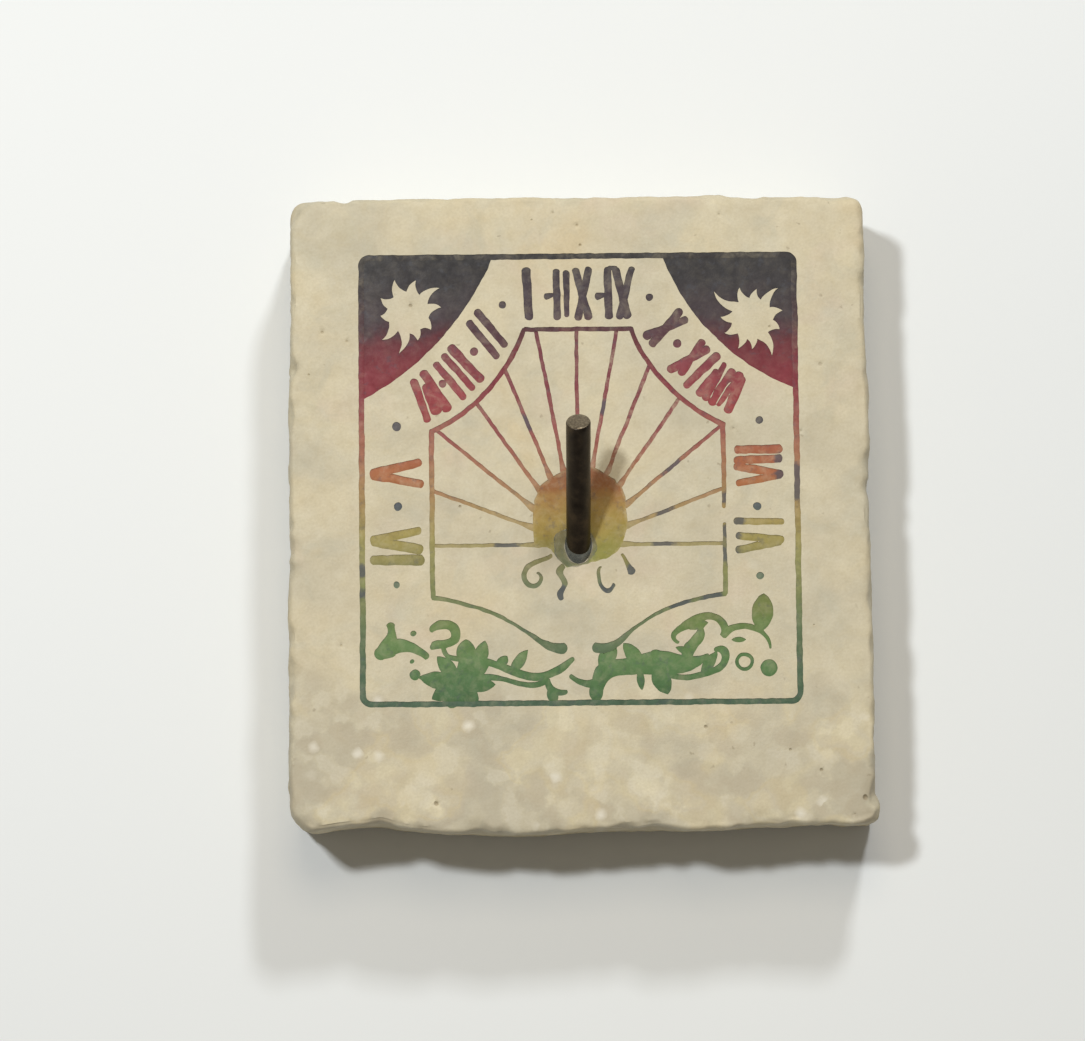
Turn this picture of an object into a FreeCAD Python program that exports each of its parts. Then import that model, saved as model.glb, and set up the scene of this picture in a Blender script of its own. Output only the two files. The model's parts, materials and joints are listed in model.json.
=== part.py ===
import FreeCAD, Part
import math
import os

# Pocket sundial: a tumbled stone tile with a colour-filled dial on its face and an inclined metal rod,
# the gnomon, glued into a blind bore. The tile lies on its flat back. The origin is at the middle of
# the back face, +Z points out of the dial, +Y to the noon numeral and +X to the morning hours.
# All lengths are in millimetres. The dial is laid out for a wall that faces south, so its afternoon
# hours are on the left and the feet of its numerals point outward.

# ---- stone tile
TILE_THICKNESS = 11.5
TILE_HALF_WIDTH = 25.3
TILE_HALF_LENGTH = 27.8
# height above a face, and how far the outline has drawn in there: the tumbled rounding of the edges
EDGE_ROUNDING = ((0.0, 0.55), (0.18, 0.24), (0.5, 0.06), (1.1, 0.0))
# the worn outline of the tile, anticlockwise from the lower left corner
TILE_OUTLINE = (
    (-23.3, -27.7), (-20.2, -27.2), (-17.4, -27.0), (-14.2, -27.6), (-9.4, -27.8), (-6.4, -28.0),
    (-2.0, -27.8), (3.0, -27.6), (9.0, -27.7), (16.0, -27.5), (21.5, -27.2), (24.3, -27.3),
    (25.3, -27.0), (25.6, -26.0), (25.25, -24.6), (25.3, -20.5), (25.2, -14.0), (25.25, -7.0),
    (25.1, 0.0), (25.2, 8.0), (25.0, 15.0), (25.1, 22.0), (25.05, 25.9), (24.7, 27.2), (23.5, 27.7),
    (18.0, 27.65), (13.2, 27.7), (12.0, 27.95), (10.9, 27.7), (5.0, 27.75), (-1.5, 27.65),
    (-5.0, 27.8), (-10.5, 27.8), (-16.0, 27.75), (-23.2, 27.65), (-24.7, 27.2), (-25.1, 26.0),
    (-25.05, 20.0), (-25.2, 10.0), (-25.15, 0.0), (-25.4, -9.0), (-25.3, -18.0), (-25.2, -25.0),
    (-24.6, -26.9),
)

# ---- dial: the rod's angle and the hour lines both follow from the latitude
DIAL_LATITUDE = 45.5
DIAL_ORIGIN = (-0.15, -2.9)
DEGREES_PER_HOUR = 15.0
NOON = 12
FIRST_HOUR = 6
LAST_HOUR = 18
POCKET_DEPTH = 0.25
FILL_DEPTH_BELOW_FACE = 0.04
STENCIL_OVERSHOOT = 1.0

BORDER_HALF_WIDTH = 19.05
BORDER_BOTTOM = -16.85
BORDER_TOP = 22.6
BORDER_LINE = 0.44
BORDER_CORNER_RADIUS = 0.95

HOUR_LINE_WIDTH = 0.34
HOUR_LINE_REACH = 24.0
# corners of the field inside the inner border, which the hour lines are trimmed to
HOUR_FIELD = (
    (-4.7, 15.95), (4.6, 15.95), (5.5, 13.9), (7.2, 11.5), (9.4, 9.4), (12.48, 7.5),
    (12.48, -7.0), (-12.78, -7.0), (-12.78, 7.05), (-10.0, 8.7), (-7.5, 11.05), (-5.6, 13.9),
)

# ---- gnomon
ROD_DIAMETER = 2.1
ROD_LENGTH_OUTSIDE = 13.2
ROD_LENGTH_IN_BORE = 6.0
ROD_END_CHAMFER = 0.12
GLUE_GAP = 0.15
BEAD_CENTRE = (-0.75, -3.15)
BEAD_HALF_LENGTH = 2.35
BEAD_HALF_WIDTH = 1.15
BEAD_HEIGHT = 0.42

# ---- brush strokes
# how far the round end of a stroke stands past its last point, as a share of its width there
STROKE_END_BULGE = 0.32

# strokes of each numeral: start x, y, end x, y, width at the start, width at the end
NUMERALS = {
    "numeral_VI_evening": (
        (-17.85, -2.4, -13.9, -1.55, 0.74, 0.56),
        (-17.8, -2.5, -13.85, -3.2, 0.74, 0.84),
        (-17.9, -4.1, -13.75, -4.12, 0.74, 0.84),
    ),
    "numeral_V": (
        (-17.85, 3.42, -13.9, 4.38, 0.8, 0.64),
        (-17.8, 3.3, -13.7, 2.5, 0.78, 0.58),
    ),
    "numeral_IIII": (
        (-13.45, 12.2, -11.4, 9.05, 0.66, 0.74),
        (-13.3, 11.0, -12.3, 8.9, 0.6, 0.95),
        (-14.3, 11.45, -13.1, 8.1, 0.62, 0.56),
    ),
    "numeral_III": (
        (-11.05, 14.4, -8.5, 11.6, 0.7, 0.66),
        (-11.65, 13.7, -9.2, 10.85, 0.52, 0.5),
        (-12.35, 12.95, -10.0, 10.05, 0.54, 0.56),
    ),
    "numeral_II": (
        (-8.75, 17.55, -6.35, 14.6, 0.6, 0.52),
        (-9.45, 16.6, -7.05, 13.6, 0.56, 0.52),
    ),
    "numeral_I": (
        (-4.45, 21.2, -4.25, 17.0, 0.7, 0.62),
    ),
    "numeral_XII": (
        (-1.85, 21.1, -1.8, 16.95, 0.5, 0.52),
        (-0.98, 20.95, -0.95, 17.15, 0.48, 0.36),
        (-0.15, 21.15, 0.92, 16.95, 0.56, 0.58),
        (0.98, 21.25, 0.02, 16.9, 0.52, 0.56),
    ),
    "numeral_XI": (
        (2.62, 21.2, 2.7, 17.0, 0.58, 0.58),
        (3.35, 21.15, 4.3, 17.05, 0.6, 0.66),
        (4.72, 21.25, 3.62, 17.0, 0.44, 0.56),
        (2.75, 21.3, 3.4, 21.25, 0.34, 0.34),
    ),
    "numeral_X": (
        (5.9, 15.28, 9.4, 16.68, 0.68, 0.54),
        (6.45, 14.6, 8.85, 17.4, 0.62, 0.68),
    ),
    "numeral_IX": (
        (8.0, 12.3, 11.2, 14.1, 0.72, 0.66),
        (8.95, 12.0, 10.78, 14.75, 0.62, 0.58),
        (9.35, 10.9, 12.05, 13.5, 0.56, 0.66),
    ),
    "numeral_VIII": (
        (12.0, 12.1, 10.5, 10.2, 0.6, 0.66),
        (12.7, 12.75, 11.0, 9.85, 0.36, 0.72),
        (13.35, 12.1, 11.55, 9.4, 0.68, 0.72),
        (14.0, 11.8, 12.1, 9.2, 0.76, 0.36),
        (14.1, 11.5, 12.95, 8.65, 0.78, 0.66),
    ),
    "numeral_VII": (
        (13.65, 5.25, 17.35, 5.28, 0.6, 0.72),
        (13.6, 4.3, 17.35, 4.45, 0.66, 0.6),
        (17.4, 3.08, 13.6, 3.82, 0.62, 0.66),
        (17.3, 3.0, 13.75, 2.3, 0.6, 0.5),
    ),
    "numeral_VI_morning": (
        (13.5, -1.0, 17.45, -1.05, 0.52, 0.46),
        (17.4, -2.65, 13.65, -2.25, 0.6, 0.54),
        (17.2, -2.75, 13.65, -3.48, 0.7, 0.56),
    ),
}

# centre x, y and radius of each dot between the numerals
HOUR_DOTS = (
    (-15.9, -6.25, 0.3), (-15.75, 0.55, 0.36), (-15.8, 7.55, 0.4), (-11.8, 11.25, 0.34),
    (-9.05, 14.05, 0.38), (-6.5, 18.15, 0.34), (6.25, 18.7, 0.34), (8.6, 14.6, 0.38),
    (15.65, 7.8, 0.34), (15.35, 0.3, 0.36), (15.5, -5.75, 0.33),
)
# the two dots that ran into the numeral beside them
HOUR_DASHES = (
    (-2.72, 18.85, -2.15, 19.0, 0.6, 0.36),
    (1.7, 18.8, 2.35, 18.95, 0.66, 0.42),
)

# lines of the inner border: points, and the width at each point
INNER_BORDER = (
    (((-4.65, 15.95), (4.6, 15.95)), (0.4, 0.4)),
    (((-4.7, 15.95), (-5.6, 13.9), (-7.5, 11.05), (-10.0, 8.7), (-12.78, 7.05)),
     (0.42, 0.42, 0.42, 0.44, 0.46)),
    (((-12.78, 7.15), (-12.78, -7.4)), (0.46, 0.42)),
    (((-12.78, -7.42), (-10.0, -8.0), (-7.0, -9.1), (-4.2, -10.8), (-2.5, -11.8), (-1.5, -11.9)),
     (0.4, 0.34, 0.32, 0.4, 0.8, 0.95)),
    (((4.6, 15.95), (5.5, 13.9), (7.2, 11.5), (9.4, 9.4), (12.48, 7.5)),
     (0.42, 0.4, 0.42, 0.42, 0.5)),
    (((12.48, 7.6), (12.5, 0.25)), (0.46, 0.34)),
    (((12.48, -1.15), (12.52, -7.2)), (0.3, 0.44)),
    (((12.5, -7.25), (10.0, -7.75), (7.0, -8.75), (4.4, -10.4), (2.6, -11.75), (1.2, -11.85)),
     (0.44, 0.36, 0.32, 0.32, 0.75, 0.9)),
)

# ---- corner panels: three points of the edge that faces the dial, from the top border to the side
SKY_EDGE_LEFT = ((-7.4, 22.3), (-12.55, 14.55), (-18.8, 9.85))
SKY_EDGE_RIGHT = ((7.4, 22.3), (12.1, 14.95), (18.8, 10.6))
# the bare sunburst in each panel: centre, valley radius, and the ray tips, anticlockwise, as the
# angle of the tip and its distance from the centre
SUNBURST_LEFT = (-14.75, 17.55)
SUNBURST_RIGHT = (15.15, 16.75)
SUNBURST_VALLEY_RADIUS = 1.82
SUNBURST_RAY_CURL = 0.12
SUNBURST_RAYS_LEFT = (
    (8, 2.9), (38, 3.5), (76, 2.9), (112, 3.1), (152, 2.7), (186, 2.4), (226, 3.3), (258, 3.7),
    (288, 2.6), (322, 2.5),
)
SUNBURST_RAYS_RIGHT = (
    (14, 2.7), (49, 3.5), (80, 2.6), (111, 2.9), (144, 4.1), (176, 2.8), (208, 2.7), (244, 2.9),
    (268, 2.7), (297, 3.7), (338, 2.6),
)

# ---- sun disc round the foot of the gnomon, and the curls that hang from it
SUN_DISC_OUTLINE = (
    (-3.95, -3.0), (-3.2, -3.1), (-2.5, -3.3), (-2.1, -3.9), (-1.2, -4.9), (0.4, -4.65),
    (2.0, -4.15), (3.2, -3.5), (3.85, -2.2), (4.1, -0.5), (3.98, 1.0), (3.4, 2.4), (2.4, 3.2),
    (1.2, 3.75), (-0.2, 3.8), (-1.6, 3.45), (-2.8, 2.8), (-3.6, 1.8), (-3.95, 0.2), (-4.05, -1.5),
)
SUN_CURLS = (
    (((-2.5, -3.85), (-3.7, -4.35), (-4.75, -5.1), (-4.75, -6.1), (-4.0, -6.5), (-3.45, -6.0),
      (-3.7, -5.35)), (0.34, 0.4, 0.46, 0.44, 0.42, 0.36, 0.3)),
    (((-1.45, -4.7), (-1.75, -5.5), (-1.35, -6.3), (-1.7, -7.0), (-1.7, -7.6)),
     (0.5, 0.6, 0.46, 0.5, 0.46)),
    (((1.75, -4.9), (1.75, -6.4), (2.15, -6.9), (2.9, -6.4)), (0.3, 0.34, 0.44, 0.3)),
    (((3.6, -3.8), (4.0, -4.5), (4.45, -5.3)), (0.26, 0.34, 0.74)),
)

# ---- leaf scrolls: stems as lines with widths, leaves from their foot to their tip with a width,
# and berries with a radius
VINE_LEFT_STEMS = (
    (((-16.45, -9.75), (-16.4, -10.7), (-16.6, -11.7), (-17.35, -12.3)), (0.75, 0.9, 1.7, 0.9)),
    (((-16.5, -11.7), (-15.1, -11.6), (-13.3, -12.5)), (1.5, 1.05, 0.6)),
    (((-9.6, -13.0), (-7.6, -13.2), (-5.8, -13.9), (-3.4, -14.3), (-1.9, -13.7), (-0.75, -12.8)),
     (0.9, 0.62, 0.72, 0.72, 0.7, 0.4)),
    (((-9.2, -14.6), (-7.4, -14.4), (-5.2, -14.95), (-3.0, -14.7)), (0.9, 0.5, 0.46, 0.5)),
    (((-12.9, -10.25), (-12.0, -9.75), (-10.95, -10.1), (-10.9, -11.0), (-11.8, -11.4),
      (-12.9, -11.7)), (0.5, 0.8, 0.84, 0.8, 0.72, 0.44)),
    (((-11.9, -11.4), (-11.6, -12.4), (-10.4, -12.7)), (0.36, 0.44, 0.56)),
    (((-3.0, -14.7), (-2.6, -15.5), (-1.35, -15.7)), (0.5, 0.66, 0.44)),
    (((-9.85, -12.4), (-10.1, -14.0), (-10.7, -15.6)), (1.5, 1.5, 2.3)),
)
VINE_LEFT_LEAVES = (
    (-9.9, -13.6, -9.95, -11.0, 1.75), (-8.9, -13.4, -8.3, -11.2, 1.2),
    (-7.3, -13.6, -6.4, -12.5, 0.9), (-6.2, -14.1, -4.6, -12.0, 1.0),
    (-10.4, -14.9, -14.0, -14.3, 1.5), (-10.7, -14.5, -12.4, -12.5, 1.3),
    (-10.6, -14.5, -8.0, -13.4, 1.2), (-10.7, -14.9, -12.9, -16.2, 1.4),
    (-10.9, -14.6, -11.3, -17.0, 2.0), (-10.7, -14.9, -7.4, -15.0, 1.4),
    (-10.5, -14.8, -9.1, -16.9, 1.6), (-2.75, -15.2, -2.3, -16.7, 0.95),
)
VINE_LEFT_BERRIES = (
    (-14.35, -14.1, 0.46), (-14.6, -12.95, 0.2), (-14.45, -10.5, 0.26), (-17.3, -12.2, 0.55),
)

VINE_RIGHT_STEMS = (
    (((-0.95, -14.3), (0.1, -14.9), (1.5, -14.9)), (0.42, 0.56, 1.0)),
    (((1.4, -15.6), (2.1, -13.9), (4.2, -13.5), (6.6, -13.2), (9.3, -13.3), (10.9, -12.6)),
     (0.9, 1.6, 1.5, 2.1, 1.3, 0.3)),
    (((6.6, -14.0), (8.8, -14.5), (11.0, -14.1), (12.35, -13.1), (12.3, -12.3), (11.6, -12.1)),
     (0.6, 0.5, 0.56, 0.66, 0.74, 0.5)),
    (((9.2, -13.1), (9.35, -12.0), (10.0, -11.2), (10.35, -10.3)), (1.0, 1.05, 0.95, 0.5)),
    (((8.35, -11.5), (7.95, -10.9), (8.6, -10.25), (9.9, -9.55), (11.2, -9.2), (12.1, -9.7),
      (12.35, -10.8)), (0.34, 0.46, 0.6, 0.85, 0.62, 0.66, 0.8)),
    (((12.3, -10.9), (13.4, -10.15), (14.7, -10.2), (15.7, -10.75), (16.3, -12.0)),
     (0.7, 0.56, 0.5, 0.4, 0.22)),
)
VINE_RIGHT_LEAVES = (
    (1.6, -13.9, 2.9, -11.5, 1.5), (5.4, -13.6, 3.6, -11.5, 1.3), (5.0, -13.7, 5.2, -15.6, 0.7),
    (6.4, -13.4, 7.4, -16.0, 1.6), (1.3, -14.6, 1.2, -16.7, 1.2), (10.3, -14.3, 11.7, -12.3, 0.95),
    (15.5, -10.6, 15.8, -7.3, 1.9), (12.95, -11.3, 14.2, -11.25, 0.5), (8.8, -10.1, 11.0, -9.8, 0.9),
    (9.6, -12.4, 8.1, -11.9, 0.6), (7.6, -13.6, 6.2, -12.1, 1.1),
)
VINE_RIGHT_BERRIES = ((16.15, -13.75, 0.72),)
VINE_RIGHT_RING = (14.05, -13.2, 0.82, 0.5)

# patches that are trimmed back where they run into another one
GIVES_WAY_TO = {
    "sun_curls": ("sun_disc",),
    "vine_left": ("outer_border", "inner_border"),
    "vine_right": ("outer_border", "inner_border"),
    "numeral_III": ("numeral_IIII",),
    "numeral_IX": ("numeral_VIII",),
    "hour_dots": ("numeral_III", "numeral_IIII", "numeral_XI", "numeral_XII"),
}


def point(x, y, z=0.0):
    return FreeCAD.Vector(x, y, z)


def smooth_edge(points):
    """A straight edge between two points, or a smooth curve through more."""
    if len(points) == 2:
        return Part.LineSegment(points[0], points[1]).toShape()
    curve = Part.BSplineCurve()
    curve.interpolate(points)
    return curve.toShape()


def arc_chain(points):
    """A closed wire of arcs, each through three of the points; their number is even."""
    loop = points + points[:1]
    arcs = [Part.Arc(loop[index], loop[index + 1], loop[index + 2]).toShape()
            for index in range(0, len(points), 2)]
    return Part.Wire(arcs)


def stroke_face(points, widths):
    """A brush line through the points, with a width at each point and a rounded end."""
    centres = [point(x, y) for x, y in points]
    left = []
    right = []
    for index, centre in enumerate(centres):
        before = centres[max(index - 1, 0)]
        after = centres[min(index + 1, len(centres) - 1)]
        along = (after - before).normalize()
        side = point(-along.y, along.x) * (widths[index] / 2)
        left.append(centre + side)
        right.append(centre - side)
    first_along = (centres[1] - centres[0]).normalize()
    last_along = (centres[-1] - centres[-2]).normalize()
    first_tip = centres[0] - first_along * (widths[0] * STROKE_END_BULGE)
    last_tip = centres[-1] + last_along * (widths[-1] * STROKE_END_BULGE)
    edges = [
        smooth_edge(left),
        Part.Arc(left[-1], last_tip, right[-1]).toShape(),
        smooth_edge(right[::-1]),
        Part.Arc(right[0], first_tip, left[0]).toShape(),
    ]
    return Part.Face(Part.Wire(edges))


def bar_face(stroke):
    start_x, start_y, end_x, end_y, start_width, end_width = stroke
    return stroke_face(((start_x, start_y), (end_x, end_y)), (start_width, end_width))


def leaf_face(leaf):
    """A pointed leaf between two arcs that meet at its foot and its tip."""
    foot_x, foot_y, tip_x, tip_y, width = leaf
    foot = point(foot_x, foot_y)
    tip = point(tip_x, tip_y)
    along = (tip - foot).normalize()
    side = point(-along.y, along.x) * (width / 2)
    middle = (foot + tip) * 0.5
    edges = [Part.Arc(foot, middle + side, tip).toShape(), Part.Arc(tip, middle - side, foot).toShape()]
    return Part.Face(Part.Wire(edges))


def disc_face(x, y, radius):
    return Part.Face(Part.Wire([Part.Circle(point(x, y), point(0, 0, 1), radius).toShape()]))


def rounded_rectangle_face(half_width, bottom, top, radius):
    corners = (
        (half_width - radius, top - radius, 0), (-half_width + radius, top - radius, 90),
        (-half_width + radius, bottom + radius, 180), (half_width - radius, bottom + radius, 270),
    )
    arcs = []
    for x, y, angle in corners:
        circle = Part.Circle(point(x, y), point(0, 0, 1), radius)
        arcs.append(Part.ArcOfCircle(circle, math.radians(angle), math.radians(angle + 90)))
    edges = []
    for index, arc in enumerate(arcs):
        following = arcs[(index + 1) % len(arcs)]
        edges.append(arc.toShape())
        edges.append(Part.LineSegment(arc.EndPoint, following.StartPoint).toShape())
    return Part.Face(Part.Wire(edges))


def stencil(faces):
    """The faces joined into one upright cutter, from the pocket floor to above the dial face."""
    floor = TILE_THICKNESS - POCKET_DEPTH
    height = POCKET_DEPTH + STENCIL_OVERSHOOT
    solids = []
    for face in faces:
        raised = face.copy()
        raised.translate(point(0, 0, floor))
        solids.append(raised.extrude(point(0, 0, height)))
    if len(solids) == 1:
        return solids[0]
    return solids[0].fuse(solids[1:]).removeSplitter()


def dial_inside_face():
    """The field inside the outer border line."""
    return rounded_rectangle_face(
        BORDER_HALF_WIDTH - BORDER_LINE, BORDER_BOTTOM + BORDER_LINE, BORDER_TOP - BORDER_LINE,
        BORDER_CORNER_RADIUS - BORDER_LINE)


def outer_border():
    outside = rounded_rectangle_face(BORDER_HALF_WIDTH, BORDER_BOTTOM, BORDER_TOP, BORDER_CORNER_RADIUS)
    return stencil([outside]).cut(stencil([dial_inside_face()]))


def sunburst_face(centre, rays):
    """A sun with curved, flame-like rays of uneven length."""
    tips = []
    valleys = []
    for index, (angle, reach) in enumerate(rays):
        tip_angle = math.radians(angle)
        tips.append(point(centre[0] + reach * math.cos(tip_angle), centre[1] + reach * math.sin(tip_angle)))
        next_angle = rays[(index + 1) % len(rays)][0]
        if next_angle < angle:
            next_angle += 360
        valley_angle = math.radians((angle + next_angle) / 2)
        valleys.append(point(centre[0] + SUNBURST_VALLEY_RADIUS * math.cos(valley_angle),
                             centre[1] + SUNBURST_VALLEY_RADIUS * math.sin(valley_angle)))
    edges = []
    for index, tip in enumerate(tips):
        for start, end, turn in ((valleys[index - 1], tip, 1), (tip, valleys[index], -1)):
            along = end - start
            bend = point(-along.y, along.x) * (turn * SUNBURST_RAY_CURL)
            edges.append(Part.Arc(start, (start + end) * 0.5 + bend, end).toShape())
    return Part.Face(Part.Wire(edges))


def corner_sky(side, edge_points, centre, rays):
    """A corner panel inside the border, up to its curved edge, with the sunburst left bare."""
    start, middle, end = (point(x, y) for x, y in edge_points)
    far_x = side * (BORDER_HALF_WIDTH + 1)
    far_y = BORDER_TOP + 1
    corners = [end, point(far_x, end.y), point(far_x, far_y), point(start.x, far_y), start]
    edges = [Part.Arc(start, middle, end).toShape()]
    for first, second in zip(corners, corners[1:]):
        edges.append(Part.LineSegment(first, second).toShape())
    panel = stencil([Part.Face(Part.Wire(edges))])
    panel = panel.common(stencil([dial_inside_face()]))
    return panel.cut(stencil([sunburst_face(centre, rays)]))


def inner_border():
    return stencil([stroke_face(points, widths) for points, widths in INNER_BORDER])


def hour_line(hour):
    """The line for an hour of the clock, from the gnomon's foot outward."""
    hour_angle = math.radians((NOON - hour) * DEGREES_PER_HOUR)
    factor = math.cos(math.radians(DIAL_LATITUDE))
    across = factor * math.sin(hour_angle)
    up = math.cos(hour_angle)
    scale = HOUR_LINE_REACH / math.hypot(across, up)
    end = (DIAL_ORIGIN[0] + across * scale, DIAL_ORIGIN[1] + up * scale)
    return stencil([stroke_face((DIAL_ORIGIN, end), (HOUR_LINE_WIDTH, HOUR_LINE_WIDTH))])


def hour_field():
    """The field inside the inner border."""
    loop = [point(x, y) for x, y in HOUR_FIELD]
    return stencil([Part.Face(Part.makePolygon(loop + loop[:1]))])


def sun_disc():
    return stencil([Part.Face(arc_chain([point(x, y) for x, y in SUN_DISC_OUTLINE]))])


def vine(stems, leaves, berries):
    faces = [stroke_face(points, widths) for points, widths in stems]
    faces += [leaf_face(leaf) for leaf in leaves]
    faces += [disc_face(x, y, radius) for x, y, radius in berries]
    return stencil(faces)


def vine_right():
    x, y, outer_radius, inner_radius = VINE_RIGHT_RING
    ring = stencil([disc_face(x, y, outer_radius)]).cut(stencil([disc_face(x, y, inner_radius)]))
    return vine(VINE_RIGHT_STEMS, VINE_RIGHT_LEAVES, VINE_RIGHT_BERRIES).fuse(ring)


def dial_stencils():
    """The cutter of every coloured patch, by the name of its node."""
    stencils = {
        "outer_border": outer_border(),
        "corner_sky_left": corner_sky(-1, SKY_EDGE_LEFT, SUNBURST_LEFT, SUNBURST_RAYS_LEFT),
        "corner_sky_right": corner_sky(1, SKY_EDGE_RIGHT, SUNBURST_RIGHT, SUNBURST_RAYS_RIGHT),
        "inner_border": inner_border(),
        "sun_disc": sun_disc(),
    }
    field = hour_field()
    for hour in range(FIRST_HOUR, LAST_HOUR + 1):
        if hour < NOON:
            name = f"hour_line_{hour:02d}_am"
        elif hour == NOON:
            name = "hour_line_12_noon"
        else:
            name = f"hour_line_{hour - NOON:02d}_pm"
        stencils[name] = hour_line(hour).common(field)
    stencils["sun_curls"] = stencil([stroke_face(points, widths) for points, widths in SUN_CURLS])
    stencils["vine_left"] = vine(VINE_LEFT_STEMS, VINE_LEFT_LEAVES, VINE_LEFT_BERRIES)
    stencils["vine_right"] = vine_right()
    for name, strokes in NUMERALS.items():
        stencils[name] = stencil([bar_face(stroke) for stroke in strokes])
    dots = [disc_face(x, y, radius) for x, y, radius in HOUR_DOTS]
    dots += [bar_face(stroke) for stroke in HOUR_DASHES]
    stencils["hour_dots"] = stencil(dots)
    return stencils


def trim_overlaps(stencils):
    """Cut the patches that run into a neighbour, so that each colour keeps its own space."""
    for name in stencils:
        neighbours = GIVES_WAY_TO.get(name, ())
        if name.startswith("hour_line"):
            neighbours = ("sun_disc", "inner_border")
        if neighbours:
            stencils[name] = stencils[name].cut([stencils[neighbour] for neighbour in neighbours])
    return stencils


def tile_ring(inset, z):
    """The outline of the tile, drawn in by the inset, at a height."""
    x_scale = 1 - inset / TILE_HALF_WIDTH
    y_scale = 1 - inset / TILE_HALF_LENGTH
    return arc_chain([point(x * x_scale, y * y_scale, z) for x, y in TILE_OUTLINE])


def tile_blank():
    """The tile before the dial is cut: a stack of outlines, drawn in at both faces."""
    rings = [tile_ring(inset, height) for height, inset in EDGE_ROUNDING]
    rings += [tile_ring(inset, TILE_THICKNESS - height) for height, inset in EDGE_ROUNDING[::-1]]
    return Part.makeLoft(rings, True, True)


def rod_direction():
    """The rod lies in the noon plane, parallel to the earth's axis when the dial faces south."""
    inclination = math.radians(90 - DIAL_LATITUDE)
    return point(0, math.cos(inclination), math.sin(inclination))


def rod_foot():
    return point(DIAL_ORIGIN[0], DIAL_ORIGIN[1], TILE_THICKNESS)


def gnomon_rod():
    start = rod_foot() - rod_direction() * ROD_LENGTH_IN_BORE
    length = ROD_LENGTH_IN_BORE + ROD_LENGTH_OUTSIDE
    rod = Part.makeCylinder(ROD_DIAMETER / 2, length, start, rod_direction())
    end_edges = [edge for edge in rod.Edges if isinstance(edge.Curve, Part.Circle)]
    return rod.makeChamfer(ROD_END_CHAMFER, end_edges)


def bore():
    """The blind bore, with room for glue round the rod and under its end."""
    radius = ROD_DIAMETER / 2 + GLUE_GAP
    start = rod_foot() - rod_direction() * (ROD_LENGTH_IN_BORE + GLUE_GAP)
    length = ROD_LENGTH_IN_BORE + GLUE_GAP + 2 * STENCIL_OVERSHOOT
    return Part.makeCylinder(radius, length, start, rod_direction())


def glue_bead():
    """The low bead of glue on the face: a spherical cap stretched along X."""
    sphere_radius = (BEAD_HALF_WIDTH ** 2 + BEAD_HEIGHT ** 2) / (2 * BEAD_HEIGHT)
    cap = Part.makeSphere(sphere_radius, point(0, 0, BEAD_HEIGHT - sphere_radius))
    size = 2 * BEAD_HALF_LENGTH
    above = Part.makeBox(size, size, size, point(-size / 2, -size / 2, 0))
    cap = cap.common(above)
    stretch = FreeCAD.Matrix()
    stretch.scale(BEAD_HALF_LENGTH / BEAD_HALF_WIDTH, 1, 1)
    cap = cap.transformGeometry(stretch)
    cap.translate(point(BEAD_CENTRE[0], BEAD_CENTRE[1], TILE_THICKNESS - FILL_DEPTH_BELOW_FACE))
    return cap


def main():
    os.makedirs("parts", exist_ok=True)
    stencils = trim_overlaps(dial_stencils())
    rod = gnomon_rod()
    hole = bore()
    blank = tile_blank()
    slab = blank.cut(list(stencils.values())).cut(hole)

    fill_bottom = TILE_THICKNESS - POCKET_DEPTH
    fill_thickness = POCKET_DEPTH - FILL_DEPTH_BELOW_FACE
    reach = 4 * TILE_HALF_LENGTH
    fill_layer = Part.makeBox(reach, reach, fill_thickness, point(-reach / 2, -reach / 2, fill_bottom))
    nodes = {"stone_slab": slab, "gnomon_rod": rod}
    for name, shape in stencils.items():
        fill = shape.common(fill_layer)
        if fill.BoundBox.intersect(hole.BoundBox):
            fill = fill.cut(hole)
        nodes[name] = fill

    below_face = Part.makeBox(reach, reach, TILE_THICKNESS, point(-reach / 2, -reach / 2, 0))
    sleeve = hole.common(below_face)
    neighbours = [shape for name, shape in nodes.items()
                  if name != "gnomon_rod" and shape.BoundBox.intersect(glue_bead().BoundBox)]
    bead = glue_bead().cut(neighbours)
    nodes["gnomon_adhesive"] = sleeve.fuse(bead).removeSplitter().cut(rod)

    box = blank.optimalBoundingBox(False, False)
    to_centre = point(-(box.XMin + box.XMax) / 2, -(box.YMin + box.YMax) / 2, -box.ZMin)
    for name, shape in nodes.items():
        shape.translate(to_centre)
        shape.exportStep(f"parts/{name}.step")
        print(f"{name}: {len(shape.Solids)} solids, {shape.Volume:.2f} mm3, valid {shape.isValid()}")
    print(f"tile {box.XLength:.2f} x {box.YLength:.2f} x {box.ZLength:.2f}, {len(nodes)} nodes")


main()
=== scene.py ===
import json
import math
import random

import bpy
import numpy as np
from mathutils import Matrix, Vector, kdtree, noise
from mathutils.geometry import delaunay_2d_cdt


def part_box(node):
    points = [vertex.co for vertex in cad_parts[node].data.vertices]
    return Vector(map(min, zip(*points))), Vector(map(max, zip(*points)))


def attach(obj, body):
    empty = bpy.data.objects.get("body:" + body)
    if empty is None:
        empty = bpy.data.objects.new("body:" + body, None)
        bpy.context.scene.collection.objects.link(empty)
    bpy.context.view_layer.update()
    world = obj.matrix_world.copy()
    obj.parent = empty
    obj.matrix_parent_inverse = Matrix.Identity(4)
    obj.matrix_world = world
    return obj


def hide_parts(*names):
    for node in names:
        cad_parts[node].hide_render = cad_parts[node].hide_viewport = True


# Pocket sundial: a tumbled limestone tile, a stencilled dial in blended inks and a glued steel rod.
# Working lengths are millimetres in the part's own frame; meshes are written in metres.

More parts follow.
